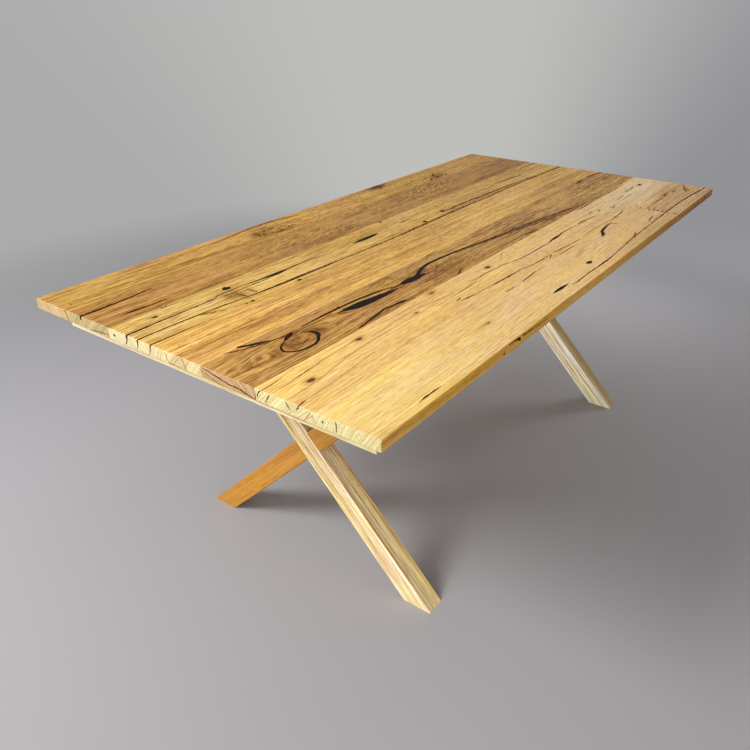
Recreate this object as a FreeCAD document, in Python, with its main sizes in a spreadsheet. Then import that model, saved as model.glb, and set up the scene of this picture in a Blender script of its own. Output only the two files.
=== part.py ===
import FreeCAD, Part
import Sketcher
import math
import os
import re

# Sawbuck dining table: an edge-glued top with resin-filled voids on two half-lapped crossed-leg frames.
# Millimetres. The origin is on the floor under the middle of the top, +Z is up, +X runs along the top
# to its far end and +Y runs across it to the side of board 1.

# Driving dimensions, kept in the spreadsheet under these names
SIZES = {
    # Top
    "table_height": 750,
    "top_length": 2000,
    "top_thickness": 25,
    "top_arris": 1.2,
    "board_width_1": 130,
    "board_width_2": 141,
    "board_width_3": 132,
    "board_width_4": 153,
    "board_width_5": 142,
    "board_width_6": 140,
    "board_width_7": 142,
    "short_board_length": 408,
    "resin_depth": 8,
    # Loose tenons in the edge joints and in the butt joint
    "tenon_length": 40,
    "tenon_width": 22,
    "tenon_thickness": 8,
    "tenon_end_gap": 0.8,
    "tenon_margin": 160,
    "butt_tenon_spacing": 70,
    # End battens and their countersunk screws
    "batten_width": 42,
    "batten_thickness": 19,
    "batten_end_inset": 13,
    "batten_left_inset": 110,
    "batten_right_inset": 20,
    "batten_arris": 1.5,
    "screw_diameter": 4.2,
    "screw_bite": 16,
    "screw_head_diameter": 8.4,
    "screw_head_depth": 2.6,
    "screw_hole_clearance": 0.4,
    "screw_margin": 35,
    # Crossed-leg frames
    "frame_inset": 355,
    "leg_width": 58,
    "leg_thickness": 56,
    "leg_angle": 45,
    "leg_arris": 2.5,
    # Loose tenons between the legs and the bearers
    "leg_tenon_width": 30,
    "leg_tenon_thickness": 14,
    "leg_tenon_in_leg": 28,
    "leg_tenon_in_bearer": 20,
    "leg_tenon_end_gap": 0.8,
    # Bearers and the hexagon-headed screws that hold them to the top
    "bearer_width": 120,
    "bearer_thickness": 32,
    "bearer_overhang": 20,
    "bearer_bevel": 14,
    "lag_diameter": 8,
    "lag_bite": 17,
    "lag_head_width": 13,
    "lag_head_height": 5.3,
    "lag_hole_clearance": 0.5,
    "lag_edge_inset": 20,
    "lag_leg_gap": 55,
}

# Counts that repeat along a row
BOARDS = 7
TENONS_PER_JOINT = 5
BUTT_TENONS = 2
SCREWS_PER_BATTEN = 3

# Sizes that follow from the driving ones
DERIVED = {
    "top_width": "(" + " + ".join(f"board_width_{n}" for n in range(1, BOARDS + 1)) + ")",
    "underside": "(table_height - top_thickness)",
    "near_end": "(-top_length / 2)",
    "long_board_length": "(top_length - short_board_length)",
    "mortise_length": "(tenon_length + 2 * tenon_end_gap)",
    "batten_length": "(top_width - batten_left_inset - batten_right_inset)",
    "batten_middle": "((batten_right_inset - batten_left_inset) / 2)",
    "near_batten": "(near_end + batten_end_inset)",
    "far_batten": "(-near_end - batten_end_inset - batten_width)",
    "near_frame": "(near_end + frame_inset)",
    "far_frame": "(-near_end - frame_inset - leg_thickness)",
    "leg_rise": "(underside - bearer_thickness)",
    "leg_slope": "tan(leg_angle * 1 deg)",
    "leg_run": "(leg_rise / leg_slope)",
    "foot_width": "(leg_width / sin(leg_angle * 1 deg))",
    "bearer_length": "(leg_run + foot_width + 2 * bearer_overhang)",
    "lag_across": "(bearer_width - 2 * lag_edge_inset)",
    "lag_along": "(leg_run - foot_width - 2 * lag_leg_gap)",
    "lag_corner": "(lag_head_width / 2 / cos(30 deg))",
}

# Resin fills: for each piece its board and its veins. A vein is a list of stations, each (distance from the
# near end, distance from the board's left edge, width). Each side of a vein is a chain of arcs through three
# stations at a time, so a vein has an odd number of them. A width of zero at an end makes a point there.
RESIN = {
    "resin_fills_board_2": (2, [
        [(-5, 43, 5), (100, 41, 6.5), (204, 33, 0)],
        [(46, 110, 0), (110, 112, 6), (178, 115, 0)],
    ]),
    "resin_fills_board_3": (3, [
        [(-5, 60, 3.5), (120, 59, 3.5), (260, 62, 0)],
        [(-5, 96, 3.5), (110, 97, 3.5), (220, 104, 4), (330, 114, 5), (660, 124, 0)],
        [(320, 50, 0), (370, 54, 4.5), (405, 57, 7), (440, 60, 13), (485, 58, 6), (540, 57, 4), (612, 57, 0)],
        [(742, 66, 0), (812, 68, 16), (872, 65, 0)],
    ]),
    "resin_fills_board_4": (4, [
        [(-5, 4, 3.5), (70, 6, 3.5), (165, 8, 0)],
    ]),
    "resin_crack_fills_board_5": (5, [
        [(60, 2, 0), (110, 19, 5), (168, 37, 0)],
        [(94, 1, 0), (120, 12, 8.5), (168, 34, 0)],
        [(176, 52, 0), (200, 43, 11), (216, 35, 0)],
    ]),
    "resin_fills_board_5": (5, [
        [(174, 60, 0), (150, 67, 4.5), (139, 86, 6), (152, 102, 6), (180, 111, 6.5), (212, 109, 7), (233, 94, 8),
         (243, 75, 10), (226, 59, 0)],
        [(245, 37, 0), (340, 35, 6.5), (430, 38, 6.5), (505, 49, 6.5), (562, 62, 0)],
        [(350, 50, 0), (390, 58, 21), (440, 65, 25), (500, 71, 16), (550, 77, 0)],
        [(566, 64, 0), (585, 65, 16), (620, 67, 22), (650, 69, 16), (676, 73, 0)],
        [(585, 68, 0), (630, 66, 9), (660, 58, 10), (690, 46, 9.5), (740, 38, 10), (850, 45, 8.5), (950, 58, 7.5),
         (1150, 86, 7), (1520, 138, 0)],
        [(304, 139, 0), (365, 129, 5.5), (425, 121, 6), (475, 127, 5.5), (520, 139, 0)],
    ]),
    "resin_fills_board_6": (6, [
        [(1092, 70, 0), (1135, 69.5, 9), (1184, 68, 0)],
    ]),
    "resin_fills_board_7": (7, [
        [(736, 101, 0), (778, 102, 10), (822, 104, 0)],
        [(1225, 32, 0), (1252, 25, 11), (1275, 13, 9), (1310, 7, 8), (1392, 4, 0)],
    ]),
}

doc = FreeCAD.newDocument("sawbuck_table")
sheet = doc.addObject("Spreadsheet::Sheet", "sizes")
for row, (alias, size) in enumerate(SIZES.items(), start=1):
    sheet.set(f"A{row}", alias)
    sheet.set(f"B{row}", str(size))
    sheet.setAlias(f"B{row}", alias)
doc.recompute()

nodes = {}


# Binding sizes to the spreadsheet


def formula(text):
    """Spell out derived sizes and point every driving size at its cell."""
    word = re.compile(r"\b[a-z_]+[0-9]?\b")
    while any(name in DERIVED for name in word.findall(text)):
        text = word.sub(lambda found: DERIVED.get(found.group(), found.group()), text)
    return word.sub(lambda found: f"sizes.{found.group()}" if found.group() in SIZES else found.group(), text)


def bind(thing, prop, text):
    thing.setExpression(prop, formula(text))


def keep(label, thing):
    """Name a finished piece, which then gets a file of that name."""
    thing.Label = label
    nodes[label] = thing
    return thing


# Sketches, pads and patterns inside a body


def new_body(name, x="0", y="0", z="0"):
    body = doc.addObject("PartDesign::Body", name)
    for axis, text in zip("xyz", (x, y, z)):
        bind(body, f"Placement.Base.{axis}", text)
    return body


def origin_feature(body, role):
    return [feature for feature in body.Origin.OriginFeatures if feature.Role == role][0]


def new_sketch(body, plane):
    sketch = body.newObject("Sketcher::SketchObject", body.Name + "_sketch")
    sketch.AttachmentSupport = (origin_feature(body, plane), [""])
    sketch.MapMode = "FlatFace"
    return sketch


def pin_point(sketch, element, point, x, y):
    """Tie one point of a sketch to the sketch's origin by two bound distances."""
    now = sketch.getPoint(element, point)
    for direction, distance, text in (("DistanceX", now.x, x), ("DistanceY", now.y, y)):
        index = sketch.addConstraint(Sketcher.Constraint(direction, -1, 1, element, point, distance))
        name = f"{direction}_{element}_{point}"
        sketch.renameConstraint(index, name)
        bind(sketch, f"Constraints.{name}", text)


def polygon(body, plane, corners):
    """Closed outline whose corners are pairs of formulas."""
    sketch = new_sketch(body, plane)
    count = len(corners)
    spots = [FreeCAD.Vector(math.cos(n), math.sin(n), 0) for n in range(count + 1)]
    for n in range(count):
        sketch.addGeometry(Part.LineSegment(spots[n], spots[n + 1]), False)
    for n in range(count):
        sketch.addConstraint(Sketcher.Constraint("Coincident", n, 2, (n + 1) % count, 1))
    for n, (x, y) in enumerate(corners):
        pin_point(sketch, n, 1, x, y)
    return sketch


def rectangle(body, plane, width, height):
    """Rectangle about the sketch's origin."""
    x = f"{width} / 2"
    y = f"{height} / 2"
    return polygon(body, plane, [(f"-{x}", f"-{y}"), (x, f"-{y}"), (x, y), (f"-{x}", y)])


def circle(body, plane, diameter):
    sketch = new_sketch(body, plane)
    sketch.addGeometry(Part.Circle(FreeCAD.Vector(0, 0, 0), FreeCAD.Vector(0, 0, 1), 1), False)
    pin_point(sketch, 0, 3, "0", "0")
    index = sketch.addConstraint(Sketcher.Constraint("Diameter", 0, 2.0))
    sketch.renameConstraint(index, "diameter")
    bind(sketch, "Constraints.diameter", diameter)
    return sketch


def pad(body, sketch, length, offset="0"):
    feature = body.newObject("PartDesign::Pad", body.Name + "_pad")
    feature.Profile = sketch
    bind(feature, "Length", length)
    bind(sketch, "AttachmentOffset.Base.z", offset)
    return feature


def revolve(body, sketch):
    feature = body.newObject("PartDesign::Revolution", body.Name + "_turned")
    feature.Profile = sketch
    feature.ReferenceAxis = (sketch, ["V_Axis"])
    feature.Angle = 360
    return feature


def repeat(body, features, axis, length, count):
    """Repeat features along one axis of the body's origin, over a length."""
    copies = body.newObject("PartDesign::LinearPattern", body.Name + "_row")
    copies.Originals = features
    copies.Direction = (origin_feature(body, axis), [""])
    bind(copies, "Length", length)
    copies.Occurrences = count
    body.Tip = copies
    return copies


def chamfer(body, base, size, chosen):
    """Break the edges that the test picks, once the solid is there to be read."""
    doc.recompute()
    box = base.Shape.BoundBox
    names = [f"Edge{n}" for n, edge in enumerate(base.Shape.Edges, start=1) if chosen(middle(edge), box)]
    feature = body.newObject("PartDesign::Chamfer", body.Name + "_arris")
    feature.Base = (base, names)
    bind(feature, "Size", size)


def middle(edge):
    return edge.valueAt((edge.FirstParameter + edge.LastParameter) / 2)


def same(first, second):
    return abs(first - second) < 1e-4


# Booleans between finished solids


def compound(name, parts):
    thing = doc.addObject("Part::Compound", name)
    thing.Links = parts
    return thing


def combine(kind, name, base, tool):
    thing = doc.addObject(f"Part::{kind}", name)
    thing.Base = base
    thing.Tool = tool
    return thing


# Top boards, their resin and their loose tenons


def board_left(number):
    """Y of a board's left edge."""
    before = "".join(f" - board_width_{n}" for n in range(1, number))
    return f"(top_width / 2{before})"


def board_blank(name, number, start, length, outer_ends, outer_sides):
    """One plain board with its arrises broken on the outside of the top only."""
    body = new_body(name, x=start, y=board_left(number), z="underside")
    width = f"board_width_{number}"
    corners = [("0", "0"), ("0", f"-{width}"), (length, f"-{width}"), (length, "0")]
    blank = pad(body, polygon(body, "XY_Plane", corners), "top_thickness")

    def outside(point, box):
        at_ends = (same(point.x, box.XMin), same(point.x, box.XMax))
        at_sides = (same(point.y, box.YMax), same(point.y, box.YMin))
        on_end = any(at and outer for at, outer in zip(at_ends, outer_ends))
        on_side = any(at and outer for at, outer in zip(at_sides, outer_sides))
        level = same(point.z, box.ZMin) or same(point.z, box.ZMax)
        return (on_end or on_side) if level else (on_end and on_side)

    chamfer(body, blank, "top_arris", outside)
    return body


def vein_curves(stations):
    """The two sides of a vein as arcs, with a straight end where it doesn't run out in a point."""
    sides = ([], [])
    last = len(stations) - 1
    for n, (x, v, width) in enumerate(stations):
        x_before, v_before, _ = stations[max(n - 1, 0)]
        x_after, v_after, _ = stations[min(n + 1, last)]
        across = FreeCAD.Vector(v_after - v_before, x_after - x_before, 0).normalize() * (width / 2)
        centre = FreeCAD.Vector(x, -v, 0)
        sides[0].append(centre + across)
        sides[1].append(centre - across)
    curves = [Part.Arc(*side[n:n + 3]) for side in sides for n in range(0, last, 2)]
    for end in (0, last):
        if stations[end][2] > 0:
            curves.append(Part.LineSegment(sides[0][end], sides[1][end]))
    return curves


def resin_body(name, number, veins):
    """Veins of one board, poured level with the top."""
    body = new_body(name, x="near_end", y=board_left(number), z="table_height")
    for stations in veins:
        outline = new_sketch(body, "XY_Plane")
        for curve in vein_curves(stations):
            outline.addGeometry(curve, False)
        pad(body, outline, "resin_depth", offset="-resin_depth")
    return body


def tenon_row(name, number, length):
    """Loose tenons along the joint between a board and the next, or their longer mortises."""
    body = new_body(name, x="near_end + tenon_margin", y=f"{board_left(number + 1)} + {length} / 2",
                    z="underside + top_thickness / 2")
    single = pad(body, rectangle(body, "XZ_Plane", "tenon_width", "tenon_thickness"), length)
    repeat(body, [single], "X_Axis", "top_length - 2 * tenon_margin", TENONS_PER_JOINT)
    return body


def butt_tenon_row(name, length):
    """Loose tenons through the butt joint of the last board, or their longer mortises."""
    body = new_body(name, x=f"near_end + long_board_length - {length} / 2",
                    y=f"{board_left(BOARDS)} - board_width_{BOARDS} / 2 - butt_tenon_spacing / 2",
                    z="underside + top_thickness / 2")
    single = pad(body, rectangle(body, "YZ_Plane", "tenon_width", "tenon_thickness"), length)
    repeat(body, [single], "Y_Axis", "butt_tenon_spacing", BUTT_TENONS)
    return body


# End battens and their screws


def batten_blank(end):
    body = new_body(f"{end}_batten_blank", x=f"{end}_batten + batten_width / 2", y="batten_middle",
                    z="underside - batten_thickness")
    outline = rectangle(body, "XY_Plane", "batten_width", "batten_length")
    blank = pad(body, outline, "batten_thickness")
    chamfer(body, blank, "batten_arris", lambda point, box: same(point.z, box.ZMin))
    return body


def screw_row(name, end, clearance, length):
    """Countersunk screws driven up through a batten, or their holes with a clearance round the shank."""
    body = new_body(name, x=f"{end}_batten + batten_width / 2",
                    y="batten_middle - batten_length / 2 + screw_margin", z="underside - batten_thickness")
    shank = f"screw_diameter / 2 + {clearance}"
    profile = [("0", "0"), ("screw_head_diameter / 2", "0"), (shank, "screw_head_depth"), (shank, length),
               ("0", length)]
    single = revolve(body, polygon(body, "XZ_Plane", profile))
    repeat(body, [single], "Y_Axis", "batten_length - 2 * screw_margin", SCREWS_PER_BATTEN)
    return body


# Crossed-leg frames


def leg_profile(body, lean):
    """A leg that leans at the leg angle, cut level at the floor and under the bearer."""
    foot = f"-{lean} * leg_run / 2"
    head = f"{lean} * leg_run / 2"
    return polygon(body, "YZ_Plane", [
        (f"{foot} - foot_width / 2", "0"),
        (f"{foot} + foot_width / 2", "0"),
        (f"{head} + foot_width / 2", "leg_rise"),
        (f"{head} - foot_width / 2", "leg_rise"),
    ])


def leg_blank(name, end, lean):
    body = new_body(name, x=f"{end}_frame")
    blank = pad(body, leg_profile(body, lean), "leg_thickness")
    chamfer(body, blank, "leg_arris", lambda point, box: same(point.z, (box.ZMin + box.ZMax) / 2))
    return body


def lap_tool(name, end, lean, start):
    """Half of the other leg's thickness, which this leg is housed around."""
    body = new_body(name, x=f"{end}_frame + {start}")
    pad(body, leg_profile(body, lean), "leg_thickness / 2")
    return body


def leg_tenon_pair(name, end, end_gap):
    """Upright loose tenons from the legs' heads into the bearer, or their mortises with an end gap."""
    reach = "(leg_run - leg_tenon_in_leg / leg_slope)"
    body = new_body(name, x=f"{end}_frame + leg_thickness / 2", y=f"-{reach} / 2",
                    z=f"leg_rise - leg_tenon_in_leg - {end_gap}")
    outline = rectangle(body, "XY_Plane", "leg_tenon_thickness", "leg_tenon_width")
    single = pad(body, outline, f"leg_tenon_in_leg + leg_tenon_in_bearer + 2 * {end_gap}")
    repeat(body, [single], "Y_Axis", reach, 2)
    return body


# Bearers and their screws


def bearer_blank(end):
    """A cross bar with its ends bevelled off underneath."""
    body = new_body(f"{end}_bearer_blank", x=f"{end}_frame + leg_thickness / 2 - bearer_width / 2", z="leg_rise")
    half = "bearer_length / 2"
    outline = polygon(body, "YZ_Plane", [
        (f"-{half} + bearer_bevel", "0"),
        (f"{half} - bearer_bevel", "0"),
        (half, "bearer_bevel"),
        (half, "bearer_thickness"),
        (f"-{half}", "bearer_thickness"),
        (f"-{half}", "bearer_bevel"),
    ])
    pad(body, outline, "bearer_width")
    return body


def lag_body(name, end):
    """An empty body at the first of a bearer's four screws, level with the bearer's underside."""
    return new_body(name, x=f"{end}_frame + leg_thickness / 2 - lag_across / 2", y="-lag_along / 2", z="leg_rise")


def lag_repeat(body, features):
    """Copy one screw to the four corners of the rectangle that the screws stand on."""
    copies = repeat(body, features, "X_Axis", "lag_across", 2)
    copies.Direction2 = (origin_feature(body, "Y_Axis"), [""])
    bind(copies, "Length2", "lag_along")
    copies.Occurrences2 = 2
    return body


def lag_screws(name, end):
    """Hexagon-headed screws, driven up through the bearer into the top."""
    body = lag_body(name, end)
    hexagon = [(f"lag_corner * cos({60 * n} deg)", f"lag_corner * sin({60 * n} deg)") for n in range(6)]
    head = pad(body, polygon(body, "XY_Plane", hexagon), "lag_head_height", offset="-lag_head_height")
    shank = pad(body, circle(body, "XY_Plane", "lag_diameter"), "bearer_thickness + lag_bite")
    return lag_repeat(body, [head, shank])


def lag_holes(name, end):
    body = lag_body(name, end)
    outline = circle(body, "XY_Plane", "lag_diameter + 2 * lag_hole_clearance")
    return lag_repeat(body, [pad(body, outline, "bearer_thickness")])


# Frames and battens, one set at each end

top_screws = []
for end in ("near", "far"):
    screws = keep(f"{end}_batten_screws",
                  screw_row(f"{end}_screws", end, "0", "batten_thickness + screw_bite"))
    screw_holes = screw_row(f"{end}_screw_holes", end, "screw_hole_clearance", "batten_thickness")
    keep(f"{end}_end_batten", combine("Cut", f"{end}_batten", batten_blank(end), screw_holes))

    leg_mortises = leg_tenon_pair(f"{end}_leg_mortises", end, "leg_tenon_end_gap")
    keep(f"{end}_leg_tenons", leg_tenon_pair(f"{end}_leg_loose_tenons", end, "0"))
    for side, lean, housed_from in (("right", 1, "leg_thickness / 2"), ("left", -1, "0")):
        blank = leg_blank(f"{end}_{side}_leg_blank", end, lean)
        housing = lap_tool(f"{end}_{side}_lap", end, -lean, housed_from)
        cuts = compound(f"{end}_{side}_leg_cuts", [housing, leg_mortises])
        keep(f"{end}_leg_{side}_foot", combine("Cut", f"{end}_{side}_leg", blank, cuts))

    lags = keep(f"{end}_bearer_screws", lag_screws(f"{end}_lags", end))
    bearer_cuts = compound(f"{end}_bearer_cuts", [lag_holes(f"{end}_lag_holes", end), leg_mortises])
    keep(f"{end}_bearer", combine("Cut", f"{end}_bar", bearer_blank(end), bearer_cuts))
    top_screws += [screws, lags]

# Top, board by board

mortises = []
for number in range(1, BOARDS):
    keep(f"joint_{number}_{number + 1}_tenons", tenon_row(f"tenons_{number}", number, "tenon_length"))
    mortises.append(tenon_row(f"mortises_{number}", number, "mortise_length"))
keep("butt_joint_tenons", butt_tenon_row("butt_tenons", "tenon_length"))
butt_mortises = butt_tenon_row("butt_mortises", "mortise_length")

for number in range(1, BOARDS + 1):
    sides = (number == 1, number == BOARDS)
    cuts = top_screws + mortises[max(number - 2, 0):number]
    lengths = [(f"top_board_{number}", "near_end", "top_length", (True, True))]
    if number == BOARDS:
        cuts.append(butt_mortises)
        lengths = [
            (f"top_board_{number}_long", "near_end", "long_board_length", (True, False)),
            (f"top_board_{number}_short", "near_end + long_board_length", "short_board_length", (False, True)),
        ]
    pours = {label: resin_body(f"{label}_pour", number, veins)
             for label, (board, veins) in RESIN.items() if board == number}
    poured = {label: [] for label in pours}
    for label, start, length, ends in lengths:
        blank = board_blank(f"{label}_blank", number, start, length, ends, sides)
        board = combine("Cut", f"{label}_jointed", blank, compound(f"{label}_cuts", cuts))
        for fill, pour in pours.items():
            poured[fill].append(combine("Common", f"{label}_{fill}", board, pour))
        if pours:
            board = combine("Cut", f"{label}_veined", board, compound(f"{label}_veins", list(pours.values())))
        keep(label, board)
    for fill, pieces in poured.items():
        keep(fill, compound(f"{fill}_group", pieces))

# Check, then write one file for each piece

doc.recompute()
for thing in doc.Objects:
    if {"Invalid", "Error"} & set(thing.State):
        raise RuntimeError(f"{thing.Label} did not build: {thing.State}")
for label, thing in nodes.items():
    if thing.Shape.isNull() or not thing.Shape.isValid() or not thing.Shape.Solids:
        raise RuntimeError(f"{label} has no sound solid")

os.makedirs("parts", exist_ok=True)
for label, thing in nodes.items():
    thing.Shape.exportStep(f"parts/{label}.step")
    print(f"{label}: {len(thing.Shape.Solids)} solids, {thing.Shape.Volume / 1000:.1f} cm3")
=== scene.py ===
"""Looks of the sawbuck table: timber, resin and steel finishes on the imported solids."""

import math
import random

import bmesh
import bpy
from mathutils import Matrix, Vector


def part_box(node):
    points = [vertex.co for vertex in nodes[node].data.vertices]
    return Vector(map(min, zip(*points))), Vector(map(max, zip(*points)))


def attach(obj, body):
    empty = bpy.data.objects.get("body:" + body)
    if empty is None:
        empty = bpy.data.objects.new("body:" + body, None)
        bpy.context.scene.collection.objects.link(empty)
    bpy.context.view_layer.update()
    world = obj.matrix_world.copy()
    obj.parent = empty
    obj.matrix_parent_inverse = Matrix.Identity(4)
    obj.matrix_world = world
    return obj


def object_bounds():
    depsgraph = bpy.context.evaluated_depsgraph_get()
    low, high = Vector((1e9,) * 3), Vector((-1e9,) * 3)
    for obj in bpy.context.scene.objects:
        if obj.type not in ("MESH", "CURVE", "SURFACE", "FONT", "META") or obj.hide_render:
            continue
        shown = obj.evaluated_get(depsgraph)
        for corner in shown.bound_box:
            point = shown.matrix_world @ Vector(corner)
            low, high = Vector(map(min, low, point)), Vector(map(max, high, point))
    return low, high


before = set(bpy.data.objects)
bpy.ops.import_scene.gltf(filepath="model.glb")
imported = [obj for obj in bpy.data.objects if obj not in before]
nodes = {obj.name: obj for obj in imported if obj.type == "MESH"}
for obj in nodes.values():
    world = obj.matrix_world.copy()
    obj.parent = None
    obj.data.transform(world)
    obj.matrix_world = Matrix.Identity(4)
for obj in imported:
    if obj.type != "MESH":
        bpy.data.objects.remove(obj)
cad_low, cad_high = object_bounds()

MM = 0.001
SEED = 7
BODY = "root"


# Places on the table

AHEAD = Vector((1, 0, 0))
RIGHT = Vector((0, -1, 0))
UP = Vector((0, 0, 1))
LEFT_CORNER = Vector((cad_low.x, cad_high.y, cad_high.z))
RIGHT_CORNER = Vector((cad_low.x, cad_low.y, cad_high.z))


def places_on(corner, first, second, out):
    """Places on a flat face: millimetres from a corner along two directions, and out of the face."""

    def place(along, across, lift=0.0):
        return corner + (first * along + second * across + out * lift) * MM

    return place


# The top from the near end and the left side, and two faces of its edge with the depth below the top
on_top = places_on(LEFT_CORNER, AHEAD, RIGHT, UP)
on_near_end = places_on(LEFT_CORNER, RIGHT, -UP, -AHEAD)
on_right_side = places_on(RIGHT_CORNER, AHEAD, -UP, RIGHT)


# Node trees

NOISE_MIDDLE = 0.5
MIX_FACTOR, MIX_FIRST, MIX_SECOND = 0, 6, 7
MIX_RESULT = 2


def tone(red, green, blue):
    """A colour written as display values from 0 to 255, in linear light."""
    linear = []
    for value in (red, green, blue):
        share = value / 255.0
        linear.append(share / 12.92 if share <= 0.04045 else ((share + 0.055) / 1.055) ** 2.4)
    return (*linear, 1.0)


class Graph:
    """Adds nodes to one tree and links them as they are made."""

    def __init__(self, tree):
        self.tree = tree

    def feed(self, socket, value):
        if isinstance(value, bpy.types.NodeSocket):
            self.tree.links.new(value, socket)
        else:
            socket.default_value = value

    def node(self, kind, inputs=(), **settings):
        """A new node. Its inputs are given by name or by number."""
        made = self.tree.nodes.new("ShaderNode" + kind)
        for name, value in settings.items():
            setattr(made, name, value)
        for key, value in dict(inputs).items():
            self.feed(made.inputs[key], value)
        return made

    def math(self, operation, *values, clamp=False):
        return self.node("Math", enumerate(values), operation=operation, use_clamp=clamp).outputs[0]

    def vector(self, operation, *values):
        made = self.node("VectorMath", enumerate(values), operation=operation)
        single = operation in ("DOT_PRODUCT", "LENGTH")
        return made.outputs["Value" if single else "Vector"]

    def split(self, vector):
        return self.node("SeparateXYZ", {"Vector": vector}).outputs

    def join(self, x, y, z):
        return self.node("CombineXYZ", {"X": x, "Y": y, "Z": z}).outputs[0]

    def times(self, first, second, clamp=False):
        return self.math("MULTIPLY", first, second, clamp=clamp)

    def bell(self, share):
        """1 in the middle of a patch, falling to nought past its reach."""
        return self.math("EXPONENT", self.times(self.vector("DOT_PRODUCT", share, share), -1.0))

    def noise(self, vector, stretch, detail=2.0, roughness=0.5, distortion=0.0):
        """Noise about nought, with a frequency per metre for each axis."""
        made = self.node("TexNoise", {
            "Vector": self.vector("MULTIPLY", vector, stretch), "Scale": 1.0,
            "Detail": detail, "Roughness": roughness, "Distortion": distortion,
        })
        return self.math("SUBTRACT", made.outputs[0], NOISE_MIDDLE)

    def noise_along(self, value, offset, frequency, detail=2.0):
        """Noise about nought along one number."""
        place = self.math("MULTIPLY_ADD", value, frequency, offset)
        made = self.node("TexNoise", {"W": place, "Scale": 1.0, "Detail": detail}, noise_dimensions="1D")
        return self.math("SUBTRACT", made.outputs[0], NOISE_MIDDLE)

    def remap(self, value, low, high, to_low=0.0, to_high=1.0):
        values = (value, low, high, to_low, to_high)
        return self.node("MapRange", enumerate(values), interpolation_type="SMOOTHSTEP").outputs[0]

    def mix(self, factor, first, second, blend="MIX"):
        inputs = {MIX_FACTOR: factor, MIX_FIRST: first, MIX_SECOND: second}
        return self.node("Mix", inputs, data_type="RGBA", blend_type=blend).outputs[MIX_RESULT]

    def tint(self, colour, by, share=1.0):
        return self.mix(share, colour, by, "MULTIPLY")

    def total(self, start, terms):
        """start plus each value times its weight."""
        for value, weight in terms:
            start = self.math("MULTIPLY_ADD", value, weight, start)
        return start


def new_group(name, inputs, outputs):
    """An empty node group: its tree, its graph, its given values and its results."""
    tree = bpy.data.node_groups.new(name, "ShaderNodeTree")
    for way, sockets in (("INPUT", inputs), ("OUTPUT", outputs)):
        for kind, labels in sockets.items():
            for label in labels:
                tree.interface.new_socket(label, in_out=way, socket_type="NodeSocket" + kind)
    given = tree.nodes.new("NodeGroupInput").outputs
    result = tree.nodes.new("NodeGroupOutput").inputs
    return tree, Graph(tree), given, result


PATCH = ("Position", "Centre", "Reach")
KNOT_SPREAD = (0.36, 0.62, 0.0)
IN_PLANE = (1.0, 1.0, 0.0)


def knot_group():
    """Bends the grain round one knot and keeps the distance to the nearest knot, in knot radii."""
    tree, graph, given, result = new_group(
        "knot",
        {"Vector": PATCH, "Float": ("Flow", "Nearest", "Swell", "Sound")},
        {"Float": ("Flow", "Nearest")},
    )
    offset = graph.vector("SUBTRACT", given["Position"], given["Centre"])
    share = graph.vector("DIVIDE", offset, given["Reach"])
    falloff = graph.bell(graph.vector("MULTIPLY", share, KNOT_SPREAD))
    push = graph.times(graph.times(graph.split(offset)["Y"], falloff), given["Swell"])
    graph.feed(result["Flow"], graph.math("SUBTRACT", given["Flow"], push))
    distance = graph.vector("LENGTH", graph.vector("MULTIPLY", share, IN_PLANE))
    distance = graph.math("ADD", distance, given["Sound"])
    graph.feed(result["Nearest"], graph.math("MINIMUM", given["Nearest"], distance))
    return tree


STREAK_DEPTH = 2.4


def zone_group():
    """Tints a soft, streaky patch of a board."""
    tree, graph, given, result = new_group(
        "zone",
        {"Vector": PATCH, "Color": ("Color", "Tint"), "Float": ("Streak", "Slope", "Strength")},
        {"Color": ("Color",)},
    )
    offset = graph.split(graph.vector("SUBTRACT", given["Position"], given["Centre"]))
    across = graph.math("SUBTRACT", offset["Y"], graph.times(offset["X"], given["Slope"]))
    share = graph.vector("DIVIDE", graph.join(offset["X"], across, offset["Z"]), given["Reach"])
    streaky = graph.math("MULTIPLY_ADD", given["Streak"], STREAK_DEPTH, 1.0)
    mask = graph.times(graph.times(graph.bell(share), streaky), given["Strength"], clamp=True)
    graph.feed(result["Color"], graph.tint(given["Color"], given["Tint"], mask))
    return tree


BURL_STRANDS = ((36, 70, 70), 3, 0.6, 1.8)
BURL_SHADES = ((26, 52, 52),)
STRAND_RANGE = (0.0, 0.06, 1.0, 0.0)
SHADE_RANGE = (-0.16, 0.12)
SHADE_SHARE = 0.6
BURL_TINT = (0.30, 0.19, 0.10, 1.0)


def burl_group():
    """Draws curly dark lines in a soft patch of a board."""
    tree, graph, given, result = new_group(
        "burl",
        {"Vector": PATCH, "Color": ("Color",), "Float": ("Strength",)},
        {"Color": ("Color",)},
    )
    offset = graph.vector("SUBTRACT", given["Position"], given["Centre"])
    falloff = graph.bell(graph.vector("DIVIDE", offset, given["Reach"]))
    curly = graph.noise(given["Position"], *BURL_STRANDS)
    strands = graph.remap(graph.math("ABSOLUTE", curly), *STRAND_RANGE)
    shade = graph.remap(graph.noise(given["Position"], *BURL_SHADES), *SHADE_RANGE)
    drawn = graph.math("MAXIMUM", strands, graph.times(shade, SHADE_SHARE))
    mask = graph.times(graph.times(falloff, drawn), given["Strength"], clamp=True)
    graph.feed(result["Color"], graph.tint(given["Color"], BURL_TINT, mask))
    return tree


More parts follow.
